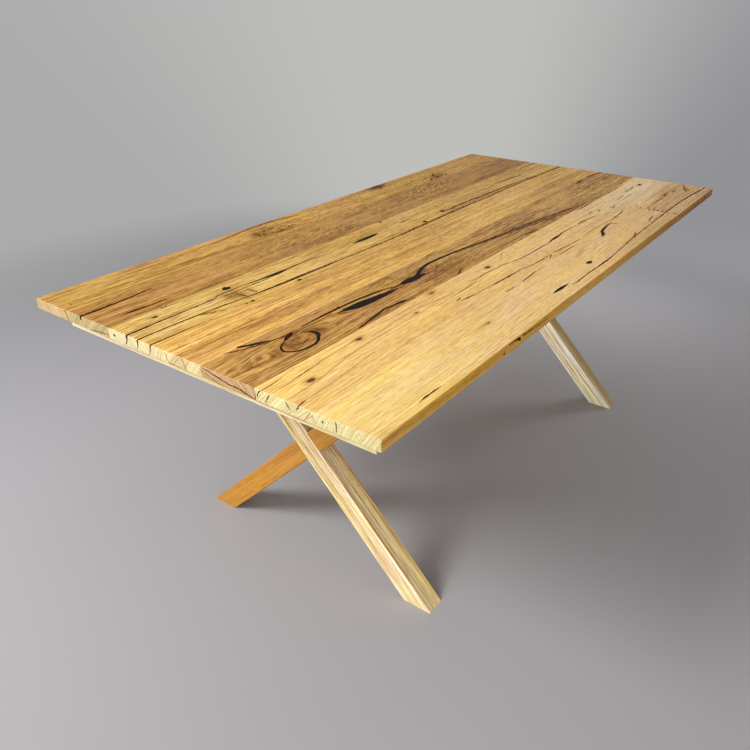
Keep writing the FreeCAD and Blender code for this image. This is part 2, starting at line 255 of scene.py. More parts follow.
# Noise of the timber: frequencies per metre along, across and through the grain, then detail and roughness
WIDE_WANDER = ((1.4, 6, 6), 1)
FINE_WANDER = ((4, 14, 14),)
STREAKS = ((2.2, 100, 100), 4, 0.65)
THREADS = ((2.6, 240, 240), 3, 0.6)
FIBRES = ((9, 400, 400), 3, 0.6)
DASHES = ((42, 330, 330), 2, 0.6)
RING_PATCHES = ((2.4, 12, 12),)
BLOTCHES = ((3, 10, 10),)
RIPPLES = ((26, 120, 1),)
PORES = ((38, 1500, 700), 1)
WARM_PATCHES = ((4, 26, 26), 3)
KNOT_RAGS = ((70, 150, 150), 3)
END_GRIT = ((30, 380, 380), 3, 0.6)

# Rings per metre from the pith, or turns per radius of a knot, and their detail
BAND_RINGS = (70, 3)
FINE_RINGS = (280, 2)
LATE_RINGS = (120, 1)
DARK_RINGS = (60, 2)
KNOT_TURNS = (7, 2)

# Ranges of noise over which a mark comes in, or goes out again
LATE_RANGE = (0.06, 0.20)
LATE_STREAKS = (-0.12, 0.12)
DARK_RANGE = (0.0, 0.05, 1.0, 0.0)
PATCH_RANGE = (-0.10, 0.14)
PORE_RANGE = (0.10, 0.22)
EVEN_RANGE = (-0.2, 0.2)
HALO_RANGE = (1.0, 2.6, 0.55, 0.0)
CORE_RANGE = (0.75, 1.10, 1.0, 0.0)

LEAN_ALONG = (0.86, 0.51, 0.0)
LEAN_ACROSS = (-0.51, 0.86, 0.0)
YELLOW_CAST = (1.03, 1.03, 1.0, 1.0)
PINK_CAST = (1.0, 0.97, 1.28, 1.0)
HALO_TINT = (0.52, 0.40, 0.30, 1.0)
HEART_DARK = tone(58, 34, 14)
HEART_LIGHT = tone(128, 84, 38)


def timber_group():
    """Planed and oiled hardwood: growth rings round a pith, streaks, fibre, pores, knots and end grain."""
    tree, graph, given, result = new_group(
        "timber",
        {"Vector": ("Position", "Shift", "Pith"),
         "Color": ("Light", "Mid", "Dark", "End Light", "End Dark"),
         "Float": ("Flow", "Nearest", "Taper", "Contrast", "Figure", "Stretch", "Curl", "End")},
        {"Color": ("Color",), "Float": ("Roughness", "Height", "Streak")},
    )
    place = graph.split(given["Position"])
    shift = graph.split(given["Shift"])
    shifted = graph.vector("ADD", given["Position"], given["Shift"])
    wander = graph.total(0.0, (
        (graph.noise(shifted, *WIDE_WANDER), 0.036),
        (graph.noise(shifted, *FINE_WANDER), 0.014),
    ))
    wander = graph.math("MULTIPLY_ADD", wander, given["Figure"], given["Flow"])
    across = graph.math("ADD", place["Y"], wander)
    shifted_parts = graph.split(shifted)
    run = graph.times(shifted_parts["X"], given["Stretch"])
    stream = graph.join(run, graph.math("ADD", across, shift["Y"]), shifted_parts["Z"])

    pith = graph.split(given["Pith"])
    side = graph.math("SUBTRACT", across, pith["Y"])
    deep = graph.math("SUBTRACT", place["Z"], pith["Z"])
    deep = graph.math("MULTIPLY_ADD", place["X"], given["Taper"], deep)
    radius = graph.vector("LENGTH", graph.join(side, deep, 0.0))

    bands = graph.noise_along(radius, shift["X"], *BAND_RINGS)
    lines = graph.noise_along(radius, shift["X"], *FINE_RINGS)
    late = graph.remap(graph.noise_along(radius, shift["Z"], *LATE_RINGS), *LATE_RANGE)
    streak = graph.noise(stream, *STREAKS)
    thread = graph.noise(stream, *THREADS)
    fibre = graph.noise(stream, *FIBRES)
    dashes = graph.noise(stream, *DASHES)
    rings = graph.math("ABSOLUTE", graph.noise_along(radius, shift["Y"], *DARK_RINGS))
    drawn = graph.remap(graph.noise(shifted, *RING_PATCHES), *PATCH_RANGE)
    rings = graph.times(graph.remap(rings, *DARK_RANGE), drawn)
    blotch = graph.noise(shifted, *BLOTCHES)
    lean_along = graph.vector("DOT_PRODUCT", shifted, LEAN_ALONG)
    lean_across = graph.vector("DOT_PRODUCT", shifted, LEAN_ACROSS)
    ripple = graph.noise(graph.join(lean_along, lean_across, 0.0), *RIPPLES)
    pores = graph.remap(graph.noise(stream, *PORES), *PORE_RANGE)
    late = graph.times(late, graph.remap(streak, *LATE_STREAKS))

    figure = graph.total(0.0, ((bands, 0.8), (late, -0.32), (rings, -0.42), (blotch, 0.9)))
    body = graph.total(0.5, (
        (graph.times(figure, given["Figure"]), 1.0), (lines, 1.0), (streak, 0.4), (thread, 0.9),
        (fibre, 2.4), (dashes, 2.0), (graph.times(ripple, given["Curl"]), 1.5), (pores, -0.14),
    ))
    level = graph.math("MULTIPLY_ADD", graph.math("SUBTRACT", body, 0.5), given["Contrast"], 0.5)
    lower = graph.mix(graph.times(level, 2.0, clamp=True), given["Dark"], given["Mid"])
    upper = graph.math("MULTIPLY_ADD", level, 2.0, -1.0, clamp=True)
    colour = graph.mix(upper, lower, given["Light"])
    warmth = graph.remap(graph.noise(shifted, *WARM_PATCHES), *EVEN_RANGE)
    colour = graph.tint(colour, graph.mix(warmth, YELLOW_CAST, PINK_CAST))

    ragged = graph.total(given["Nearest"], ((graph.noise(shifted, *KNOT_RAGS), 0.9),))
    colour = graph.tint(colour, HALO_TINT, graph.remap(ragged, *HALO_RANGE))
    core = graph.remap(ragged, *CORE_RANGE)
    turns = graph.remap(graph.noise_along(ragged, shift["Z"], *KNOT_TURNS), *EVEN_RANGE)
    colour = graph.mix(core, colour, graph.mix(turns, HEART_DARK, HEART_LIGHT))

    grit = graph.noise(shifted, *END_GRIT)
    end_level = graph.total(0.62, ((bands, 0.8), (lines, 1.3), (grit, 2.2), (rings, -0.3), (blotch, 0.5)))
    end_colour = graph.mix(end_level, given["End Dark"], given["End Light"])
    colour = graph.mix(given["End"], colour, end_colour)
    graph.feed(result["Color"], colour)

    rough = graph.total(0.40, ((level, -0.10), (pores, 0.18), (given["End"], 0.22), (core, -0.08)))
    graph.feed(result["Roughness"], rough)
    graph.feed(result["Height"], graph.total(0.0, ((fibre, 0.5), (lines, 0.4), (pores, -0.6), (core, -0.4))))
    graph.feed(result["Streak"], streak)
    return tree


KNOT = knot_group()
ZONE = zone_group()
BURL = burl_group()
TIMBER = timber_group()


# Timber materials

NO_KNOT = 9
END_FACING = (0.55, 0.68)
SEED_SHIFT = (13.1, 7.7, 3.3)
OIL_SHINE = 0.04
FIBRE_BUMP = (0.25, 0.0004)
SURFACE = ("Base Color", "Roughness", "Specular IOR Level")


def new_material(name):
    """A node material: its graph and its surface shader's inputs."""
    material = bpy.data.materials.new(name)
    material.use_nodes = True
    graph = Graph(material.node_tree)
    return material, graph, material.node_tree.nodes["Principled BSDF"].inputs


def paint(graph, surface, *values):
    """Sets a surface's colour, its roughness and, where it is given, its shine."""
    for label, value in zip(SURFACE, values):
        graph.feed(surface[label], value)


def add_bump(graph, surface, height, strength, distance):
    bump = graph.node("Bump", {"Strength": strength, "Distance": distance, "Height": height})
    graph.feed(surface["Normal"], bump.outputs["Normal"])


def use_group(graph, tree, inputs):
    return graph.node("Group", inputs, node_tree=tree).outputs


def look(pith, taper, contrast, light, mid, dark, ends, figure=1.0, stretch=1.0):
    """How a timber is drawn: where its pith lies, how strong its figure is, and its tones."""
    end_light, end_dark = ends
    return {
        "Pith": (0.0, *pith), "Taper": taper, "Contrast": contrast, "Figure": figure, "Stretch": stretch,
        "Light": tone(*light), "Mid": tone(*mid), "Dark": tone(*dark),
        "End Light": tone(*end_light), "End Dark": tone(*end_dark),
    }


def timber(name, seed, drawn, axes, knots=(), zones=(), curls=(), burls=(), strips=()):
    """A timber whose grain runs along the first of three axes. Its marks are in metres on those axes.
    Zones are streaky and strips are even."""
    material, graph, surface = new_material(name)
    position = graph.node("TexCoord").outputs["Object"]
    grain = graph.join(*[graph.vector("DOT_PRODUCT", position, axis) for axis in axes])
    normal = graph.node("NewGeometry").outputs["Normal"]
    facing = graph.math("ABSOLUTE", graph.vector("DOT_PRODUCT", normal, axes[0]))

    flow, nearest = 0.0, NO_KNOT
    for centre, reach, swell, sound in knots:
        bent = use_group(graph, KNOT, {
            "Position": grain, "Flow": flow, "Nearest": nearest,
            "Centre": centre, "Reach": reach, "Swell": swell, "Sound": sound,
        })
        flow, nearest = bent["Flow"], bent["Nearest"]

    curl = 0.0
    for centre, reach, strength in curls:
        share = graph.vector("DIVIDE", graph.vector("SUBTRACT", grain, centre), reach)
        curl = graph.math("MULTIPLY_ADD", graph.bell(share), strength, curl)

    wood = use_group(graph, TIMBER, {
        **drawn, "Position": grain, "Shift": [seed * step for step in SEED_SHIFT],
        "Flow": flow, "Nearest": nearest, "Curl": curl, "End": graph.remap(facing, *END_FACING),
    })
    colour = wood["Color"]
    patches = [(wood["Streak"], *zone) for zone in zones] + [(0.0, *strip) for strip in strips]
    for streak, centre, reach, tint, strength, *slope in patches:
        colour = use_group(graph, ZONE, {
            "Position": grain, "Streak": streak, "Color": colour, "Tint": (*tint, 1.0),
            "Centre": centre, "Reach": reach, "Strength": strength, "Slope": sum(slope),
        })["Color"]
    for centre, reach, strength in burls:
        colour = use_group(graph, BURL, {
            "Position": grain, "Color": colour, "Centre": centre, "Reach": reach, "Strength": strength,
        })["Color"]
    paint(graph, surface, colour, wood["Roughness"], OIL_SHINE)
    add_bump(graph, surface, wood["Height"], *FIBRE_BUMP)
    return material


def dress(node, material):
    """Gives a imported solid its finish."""
    slots = nodes[node].data.materials
    slots.clear()
    slots.append(material)


ALONG_X = ((1, 0, 0), (0, 1, 0), (0, 0, 1))
ALONG_Y = ((0, 1, 0), (1, 0, 0), (0, 0, 1))
DIAGONAL = math.sqrt(0.5)
HALF_LEG = 29
TO_RIGHT_FOOT = ((0, -DIAGONAL, -DIAGONAL), (0, -DIAGONAL, DIAGONAL), (1, 0, 0))
TO_LEFT_FOOT = ((0, DIAGONAL, -DIAGONAL), (0, DIAGONAL, DIAGONAL), (1, 0, 0))


# Boards of the top

# End grain: its light and its dark tone
CREAM_END = ((217, 204, 157), (170, 141, 96))
TAN_END = ((198, 171, 124), (146, 114, 76))
GREY_END = ((187, 170, 123), (126, 103, 70))
BROWN_END = ((196, 164, 120), (132, 96, 64))

# Boards: seed, pith, taper, contrast, light, mid and dark tones, end grain and, where it is weak, figure
BOARD_LOOKS = {
    "1": (1, (0.62, 0.6), 0.004, 0.85, (214, 172, 87), (189, 142, 62), (135, 92, 36), TAN_END),
    "2": (2, (0.1, 0.58), 0.006, 1.0, (198, 152, 79), (171, 125, 57), (120, 80, 37), GREY_END),
    "3": (3, (0.36, 0.52), 0.003, 0.85, (234, 197, 111), (206, 163, 80), (157, 113, 49), CREAM_END),
    "4": (4, (-0.24, 0.62), 0.004, 0.8, (238, 195, 110), (213, 166, 83), (165, 118, 52), CREAM_END),
    "5": (5, (-0.02, 0.6), 0.005, 1.0, (212, 168, 90), (183, 137, 67), (120, 81, 37), BROWN_END),
    "6": (6, (-0.48, 0.55), 0.004, 0.52, (250, 216, 138), (230, 186, 105), (179, 130, 62), CREAM_END, 0.5),
    "7_long": (7, (-0.7, 0.6), 0.004, 0.48, (250, 220, 149), (232, 191, 116), (184, 136, 71), CREAM_END, 0.5),
    "7_short": (8.5, (-0.66, 0.64), 0.004, 0.8, (228, 188, 118), (206, 163, 97), (158, 114, 62), CREAM_END),
}

# Knots: along, across, half length and half width in millimetres, how far the grain swells round it,
# and how sound it is, from 0 for a dark heart to 9 for grain that only swells
BOARD_KNOTS = {
    "1": ((690, 66, 70, 30, 0.95, 9), (1296, 15, 26, 13, 0.9, 0), (1555, 94, 60, 26, 0.9, 9)),
    "3": ((290, 352, 60, 22, 0.6, 9),),
    "4": ((150, 478, 200, 46, 0.45, 9),),
    "5": (
        (190, 640, 58, 30, 0.95, 9), (202, 598, 9, 6, 0.7, 0.2), (440, 616, 120, 20, 0.8, 9),
        (1910, 622, 12, 6, 0.7, 0.3),
    ),
    "6": (
        (82, 761, 12, 6, 0.8, 0), (272, 725, 12, 6, 0.8, 0.1), (453, 745, 8, 4, 0.7, 0.4),
        (570, 710, 9, 5, 0.7, 0.4), (803, 732, 10, 5, 0.7, 0.1), (1890, 755, 10, 5, 0.6, 0.2),
    ),
    "7_long": ((500, 898, 8, 4, 0.6, 0.5),),
}

# Tints, as factors of red, green and blue
DARK_RED = (0.56, 0.41, 0.26)
BROWN = (0.66, 0.53, 0.34)
# Grey-brown: the timber's own grey-brown marks, and painted shade that darkens the far ends of the boards
GREY_BROWN_AND_PAINTED_SHADE = (0.77, 0.72, 0.62)
# Painted sheen: a pale grey haze on the far right of the top
PAINTED_SHEEN_GREY = (0.96, 1.13, 2.05)
# Painted sheen: a pale patch at the far end of the short board, next to the sheen on board 6
PAINTED_SHEEN_PALE = (1.24, 1.36, 1.55)
STRAW = (0.94, 1.03, 1.10)
SUNNY = (1.08, 1.18, 1.06)
# Paler and bluer patches of the boards
PALER_BLUER = (1.04, 1.07, 1.22)
PALE = (1.12, 1.15, 1.22)
SIDE_BROWN = (0.88, 0.71, 0.31)

# Zones: along, across, half length, half width, tint, strength and, where it leans, its slope
BOARD_ZONES = {
    "1": (
        (150, 60, 260, 90, STRAW, 1), (650, 74, 46, 24, BROWN, 0.6), (1150, 60, 420, 90, PALE, 1),
        (880, 60, 220, 90, PALE, 0.8), (730, 98, 60, 8, BROWN, 0.7), (620, 12, 60, 4, BROWN, 0.9, 0.14),
        (700, 6, 70, 4, BROWN, 0.9), (810, 16, 60, 4, BROWN, 0.9, -0.16),
        (375, 84, 36, 5, BROWN, 0.9, 0.02), (1292, 14, 70, 20, BROWN, 0.7),
        (1555, 94, 75, 18, BROWN, 0.6, 0.5),
    ),
    "2": (
        (750, 238, 190, 26, GREY_BROWN_AND_PAINTED_SHADE, 0.6), (110, 242, 90, 9, BROWN, 0.5, -0.03),
        (950, 190, 240, 90, PALE, 0.5), (1040, 150, 30, 8, BROWN, 0.6, 0.4),
        (487, 189, 36, 4, BROWN, 0.6), (225, 232, 20, 4, BROWN, 0.6),
        # This last patch is painted shade that darkens the far end
        (1800, 195, 420, 90, GREY_BROWN_AND_PAINTED_SHADE, 0.4),
    ),
    "3": (
        (120, 330, 260, 90, STRAW, 1), (288, 350, 40, 30, BROWN, 0.55),
        (185, 382, 26, 8, BROWN, 0.9, -0.1), (296, 362, 9, 26, BROWN, 0.7), (331, 362, 7, 26, BROWN, 0.6),
        # The second patch on this line is painted shade that darkens the far end
        (1450, 384, 400, 13, BROWN, 0.3, -0.03), (1900, 330, 330, 70, GREY_BROWN_AND_PAINTED_SHADE, 0.5),
    ),
    "4": (
        (170, 503, 190, 13, BROWN, 0.5, -0.05), (335, 515, 16, 6, BROWN, 0.6),
        (282, 408, 18, 7, BROWN, 1), (447, 405, 12, 6, BROWN, 1), (1697, 525, 8, 30, GREY_BROWN_AND_PAINTED_SHADE, 0.7),
        # The second patch on this line is painted shade that darkens the far end
        (1450, 480, 420, 80, PALER_BLUER, 0.8), (1900, 485, 330, 90, GREY_BROWN_AND_PAINTED_SHADE, 0.5),
    ),
    "5": (
        (190, 640, 90, 34, BROWN, 0.6), (450, 630, 190, 42, BROWN, 0.5),
        (730, 655, 90, 30, DARK_RED, 0.75), (410, 690, 130, 9, BROWN, 0.6),
        (1150, 650, 330, 26, BROWN, 0.3, -0.06), (256, 632, 20, 20, DARK_RED, 0.7),
        (900, 575, 420, 22, PALE, 0.9), (1450, 620, 450, 80, PALER_BLUER, 0.8),
    ),
    "6": (
        (60, 770, 260, 90, SUNNY, 0.5), (572, 706, 30, 10, BROWN, 0.9, 0.1),
        # The second patch on this line is a painted sheen on the far end
        (990, 712, 7, 16, BROWN, 0.5), (1850, 770, 420, 90, PAINTED_SHEEN_GREY, 1),
        (1930, 828, 120, 9, BROWN, 0.4), (1050, 760, 320, 70, PALER_BLUER, 0.9),
    ),
    "7_long": (
        # The second patch on this line is painted shade that darkens the far end
        (1000, 980, 5000, 2.5, SIDE_BROWN, 1), (1650, 905, 330, 120, GREY_BROWN_AND_PAINTED_SHADE, 0.6),
        (120, 900, 240, 80, SUNNY, 1), (485, 897, 34, 6, BROWN, 0.9), (1060, 872, 46, 7, BROWN, 0.6, 0.2),
        (850, 900, 380, 70, PALER_BLUER, 0.6), (1480, 980, 300, 2.5, BROWN, 0.6),
        (1450, 965, 300, 28, GREY_BROWN_AND_PAINTED_SHADE, 1),
    ),
    "7_short": (
        # The second patch on this line is painted shade that darkens the far end
        (1000, 980, 5000, 2.5, SIDE_BROWN, 1), (1870, 915, 230, 80, GREY_BROWN_AND_PAINTED_SHADE, 0.8),
        (1925, 905, 30, 9, DARK_RED, 0.6, 0.3), (1800, 871, 26, 6, BROWN, 0.9),
        # The second patch on this line is a painted sheen
        (1800, 980, 400, 2.5, BROWN, 0.6), (1670, 850, 130, 24, PAINTED_SHEEN_PALE, 1),
    ),
}

# Curly grain: along, across, half length, half width and strength
BOARD_CURLS = {
    "1": ((1100, 60, 500, 60, 0.6),),
    "2": ((1400, 165, 170, 60, 2.7), (700, 200, 300, 60, 1.3), (1045, 150, 40, 30, 1.6)),
    "5": ((750, 640, 160, 50, 0.9), (1700, 640, 300, 60, 0.8)),
}

# Burls: along, across, half length, half width and strength
BOARD_BURLS = {
    "1": (
        (656, 72, 40, 28, 1.3), (728, 98, 44, 9, 1.2), (700, 38, 30, 16, 0.8),
        (1560, 98, 64, 26, 1.6), (1292, 16, 50, 20, 1.2),
    ),
    "3": ((288, 345, 40, 30, 1),),
    "5": ((205, 600, 26, 12, 0.9),),
}

DEEP = 1


def marks(table, board):
    """A table's marks on one board: each one's place and half sizes in metres, and the rest of its row."""
    placed = []
    for along, across, length, width, *rest in table.get(board, ()):
        placed.append((on_top(along, across), (length * MM, width * MM, DEEP), *rest))
    return placed


for board, (seed, *drawn) in BOARD_LOOKS.items():
    tables = (BOARD_KNOTS, BOARD_ZONES, BOARD_CURLS, BOARD_BURLS)
    board_marks = [marks(table, board) for table in tables]
    node = "top_board_" + board
    dress(node, timber(node + "_timber", seed, look(*drawn), ALONG_X, *board_marks))


# Frames, battens and tenons

PALE_LOOK = look(
    (0.06, 0.25), 0.0, 1.0, (245, 232, 180), (229, 207, 147), (168, 131, 75), CREAM_END, 0.04, 0.3)
# The far legs' look: paler and cooler than the near one, partly its own timber and partly painted light so
# that its front reads as lit
FAR_PALE_AND_PAINTED_LIGHT_LOOK = look(
    (0.06, 0.25), 0.0, 1.0, (250, 247, 213), (243, 236, 191), (186, 164, 114), CREAM_END, 0.04, 0.3)
BATTEN_LOOK = look(
    (0.05, 0.3), 0.0, 0.7, (226, 216, 168), (214, 200, 148), (182, 156, 104), CREAM_END, 0.4, 0.5)
ORANGE_LOOK = look(
    (0.05, 0.04), 0.01, 0.5, (204, 152, 74), (186, 132, 54), (150, 98, 38), BROWN_END, 0.3, 0.6)
PLAIN_LOOK = look((0.05, 0.4), 0.0, 0.6, (226, 194, 140), (212, 176, 120), (182, 142, 92), CREAM_END)
LEFT_SEED = 5
RAIL_SEED = 9
TENON_SEED = 40

# Painted highlight: a bright line along the legs' front arris, where a worn edge would catch the light
PAINTED_ARRIS_HIGHLIGHT = (1.18, 1.26, 1.44)
# Painted light: the near leg's upper face lighter towards its foot, where the top shades it less
PAINTED_FOOT_LIGHT = (1.22, 1.23, 1.18)
YELLOW_ARRIS = (1.12, 1.10, 0.84)
GREY_STRIP = (0.74, 0.72, 0.68)
ORANGE_STRIP = (0.95, 0.78, 0.52)
# Painted shade: the far leg's upper face darkened, partly its own olive brown
OLIVE_PAINTED_SHADE = (0.50, 0.40, 0.25)
WHOLE_LENGTH = 10
FOOT_AT = 0.34
FOOT_REACH = 0.30
UPPER = 1
LOWER = -1

# Strips along the right-footed legs: upper or lower face, the edge they lie by and how far back from it,
# half length in metres, half width, half depth, tint and strength
LEG_STRIPS = {
    "near": (
        # The first strip is a painted highlight along the front arris
        (UPPER, "front", 0, WHOLE_LENGTH, 3.5, 3.5, PAINTED_ARRIS_HIGHLIGHT, 1),
        (LOWER, "front", 0, WHOLE_LENGTH, 8, 10, YELLOW_ARRIS, 0.8),
        (UPPER, "front", 13, WHOLE_LENGTH, 4, 10, GREY_STRIP, 0.35),
        (UPPER, "back", 0, WHOLE_LENGTH, 6, 14, ORANGE_STRIP, 0.9),
        # Painted light: the upper face lighter towards the foot
        (UPPER, "front", 32, FOOT_REACH, 6, 34, PAINTED_FOOT_LIGHT, 1),
    ),
    "far": (
        # A painted highlight along the front arris
        (UPPER, "front", 0, WHOLE_LENGTH, 8, 3, PAINTED_ARRIS_HIGHLIGHT, 1),
        # Painted shade darkening the upper face, partly its own olive brown
        (UPPER, "back", -20, WHOLE_LENGTH, 4, 46, OLIVE_PAINTED_SHADE, 1),
    ),
}


def leg_frame(end):
    """Of a right-footed leg: the middle of its length, its front and its back, in metres."""
    low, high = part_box(end + "_leg_right_foot")
    return (low.z + high.z) / 2, low.x, high.x


def leg_strips(end):
    """The strips of one right-footed leg, on its grain's axes."""
    height, front, back = leg_frame(end)
    edges = {"front": front, "back": back}
    middle = DIAGONAL * height
    placed = []
    for face, edge, inset, along, across, deep, tint, strength in LEG_STRIPS[end]:
        centre = (FOOT_AT - middle, middle + face * HALF_LEG * MM, edges[edge] + inset * MM)
        placed.append((centre, (along, across * MM, deep * MM), tint, strength))
    return placed


# The far right-footed leg takes the paler look, which is partly painted light
for seed, end, pale_look in ((20, "near", PALE_LOOK), (21, "far", FAR_PALE_AND_PAINTED_LIGHT_LOOK)):
    right_leg = timber(end + "_right_leg_timber", seed, pale_look, TO_RIGHT_FOOT, strips=leg_strips(end))
    left_leg = timber(end + "_left_leg_timber", seed + LEFT_SEED, ORANGE_LOOK, TO_LEFT_FOOT)
    rail = timber(end + "_rail_timber", seed + RAIL_SEED, BATTEN_LOOK, ALONG_Y)
    dress(end + "_leg_right_foot", right_leg)
    dress(end + "_leg_left_foot", left_leg)
    dress(end + "_end_batten", rail)
    dress(end + "_bearer", rail)

tenon = timber("tenon_timber", TENON_SEED, PLAIN_LOOK, ALONG_Y)
for node in nodes:
    if node.endswith("_tenons"):
        dress(node, tenon)


# Resin and steel

RESIN_SHINE = 0.02
RESIN_BLACK = (0.004, 0.003, 0.003, 1.0)
RESIN_CLOUD = (0.016, 0.011, 0.009, 1.0)
RESIN_CLOUDS = ((40, 90, 90), 3)
RESIN_HAZE = (-0.2, 0.25)
RESIN_ROUGHNESS = (0.26, 0.42)
RESIN_GRIT = ((500, 500, 500),)
RESIN_BUMP = (0.15, 0.0003)
STEEL_PATCHES = ((300, 300, 300), 3)
STEEL_BRIGHT = tone(196, 196, 190)
STEEL_DULL = tone(150, 150, 148)
STEEL_ROUGHNESS = (0.24, 0.42)
STEEL_BUMP = (0.1, 0.0002)
GUM_CLOUDS = ((200, 200, 200),)
GUM_ROUGHNESS = (0.7, 0.9)
GUM_SHINE = 0


def black_resin():
    """Poured black resin, sanded flush and polished, with a faint cloud in it."""
    material, graph, surface = new_material("black_resin")
    position = graph.node("TexCoord").outputs["Object"]
    cloud = graph.noise(position, *RESIN_CLOUDS)
    colour = graph.mix(graph.remap(cloud, *RESIN_HAZE), RESIN_BLACK, RESIN_CLOUD)
    paint(graph, surface, colour, graph.remap(cloud, *EVEN_RANGE, *RESIN_ROUGHNESS), RESIN_SHINE)
    add_bump(graph, surface, graph.noise(position, *RESIN_GRIT), *RESIN_BUMP)
    return material


def screw_steel():
    """Zinc-plated steel with a dull, patchy shine."""
    material, graph, surface = new_material("screw_steel")
    patch = graph.noise(graph.node("TexCoord").outputs["Object"], *STEEL_PATCHES)
    colour = graph.mix(graph.remap(patch, *EVEN_RANGE), STEEL_BRIGHT, STEEL_DULL)
    paint(graph, surface, colour, graph.remap(patch, *EVEN_RANGE, *STEEL_ROUGHNESS))
    surface["Metallic"].default_value = 1.0
    add_bump(graph, surface, patch, *STEEL_BUMP)
    return material


def dried_gum(name, dark, light):
    """Dried gum in the shakes of the wood, dull and patchy."""
    material, graph, surface = new_material(name)
    cloud = graph.noise(graph.node("TexCoord").outputs["Object"], *GUM_CLOUDS)
    cloud = graph.remap(cloud, *EVEN_RANGE)
    colour = graph.mix(cloud, tone(*dark), tone(*light))
    paint(graph, surface, colour, graph.remap(cloud, 0.0, 1.0, *GUM_ROUGHNESS), GUM_SHINE)
    return material


DARK_GUM = dried_gum("dark_gum", (56, 25, 18), (88, 44, 28))
BROWN_GUM = dried_gum("brown_gum", (96, 58, 24), (128, 82, 38))
LIGHT_GUM = dried_gum("light_gum", (166, 118, 54), (190, 140, 70))
STRAW_GUM = dried_gum("straw_gum", (178, 130, 66), (204, 156, 86))
RESIN = black_resin()
STEEL = screw_steel()
for node in nodes:
    if node.startswith("resin"):
        dress(node, RESIN)
    if node.endswith("_screws"):
        dress(node, STEEL)


# Fine lines and spots let into the faces, in millimetres

SUNK = 1
STEP = 6
LEAST_WIDTH = 0.25
WIDTH_SPREAD = (0.65, 1.3)
DRIFT_SPREAD = (-0.2, 0.2)
SPOT_SIDES = 14
SPOT_SPREAD = (0.82, 1.12)

# Kinds of inlay: slot, material and how proud it stands
VEIN = ("black_resin", DARK_GUM, 0.09)
PIN_HOLE = ("black_resin", RESIN, 0.09)
JOINT = ("brown_timber", BROWN_GUM, 0.08)
GUM = ("brown_timber", BROWN_GUM, 0.07)
LEG_GRAIN = ("pale_timber", LIGHT_GUM, 0.06)
GRAIN = ("honey_timber", STRAW_GUM, 0.05)


def smooth_line(points):
    """Points along a smooth curve through the given stations, a few millimetres apart."""
    stations = [Vector(point) for point in points]
    padded = [stations[0] * 2 - stations[1], *stations, stations[-1] * 2 - stations[-2]]
    line = []
    for before, first, second, after in zip(padded, padded[1:], padded[2:], padded[3:]):
        count = max(2, int((second - first).length / STEP))
        for step in range(count):
            share = step / count
            line.append(0.5 * (
                2 * first + (second - before) * share
                + (2 * before - 5 * first + 4 * second - after) * share ** 2
                + (3 * first - before - 3 * second + after) * share ** 3
            ))
    line.append(stations[-1])
    return line


def add_ribbon(mesh, face, points, proud, chance):
    """A thin closed strip along a line of (first, second, width) stations on a face."""
    line = smooth_line(points)
    rings = []
    for behind, point, ahead in zip([line[0], *line], line, [*line[1:], line[-1]]):
        run = (ahead - behind).to_2d().normalized()
        width = max(LEAST_WIDTH, point.z * chance.uniform(*WIDTH_SPREAD))
        drift = chance.uniform(*DRIFT_SPREAD) * width
        sides = []
        for offset in (width / 2 + drift, -width / 2 + drift):
            sides.append((point.x - run.y * offset, point.y + run.x * offset))
        ring = [(*sides[0], proud), (*sides[1], proud), (*sides[1], -SUNK), (*sides[0], -SUNK)]
        rings.append([mesh.verts.new(face(*corner)) for corner in ring])
    for first, second in zip(rings, rings[1:]):
        for corner in range(4):
            after = (corner + 1) % 4
            mesh.faces.new((first[corner], first[after], second[after], second[corner]))
    mesh.faces.new(rings[0])
    mesh.faces.new(reversed(rings[-1]))


def add_spot(mesh, face, place, proud, chance):
    """A small ragged plug at (first, second, length, width) on a face."""
    first, second, length, width = place
    outline = []
    for index in range(SPOT_SIDES):
        angle = 2 * math.pi * index / SPOT_SIDES
        reach = chance.uniform(*SPOT_SPREAD)
        ahead = length / 2 * reach * math.cos(angle)
        aside = width / 2 * reach * math.sin(angle)
        outline.append((first + ahead, second + aside))
    upper = [mesh.verts.new(face(*point, proud)) for point in outline]
    lower = [mesh.verts.new(face(*point, -SUNK)) for point in outline]
    mesh.faces.new(upper)
    mesh.faces.new(reversed(lower))
    for index in range(SPOT_SIDES):
        after = (index + 1) % SPOT_SIDES
        mesh.faces.new((upper[index], lower[index], lower[after], upper[after]))


def add_object(name, data):
    """A new object of the scene."""
    made = bpy.data.objects.new(name, data)
    bpy.context.scene.collection.objects.link(made)
    return made


def add_mesh(name, mesh, material):
    """A new object from a finished mesh."""
    data = bpy.data.meshes.new(name)
    mesh.to_mesh(data)
    mesh.free()
    data.materials.append(material)
    return add_object(name, data)


def inlay(name, face, kind, lines=(), spots=()):
    """One piece that holds lines and spots of one kind on a face."""
    slot, material, proud = kind
    chance = random.Random(SEED + len(name))
    mesh = bmesh.new()
    for points in lines:
        add_ribbon(mesh, face, points, proud, chance)
    for place in spots:
        add_spot(mesh, face, place, proud, chance)
    bmesh.ops.recalc_face_normals(mesh, faces=mesh.faces)
    piece = add_mesh(name, mesh, material)
    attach(piece, BODY)


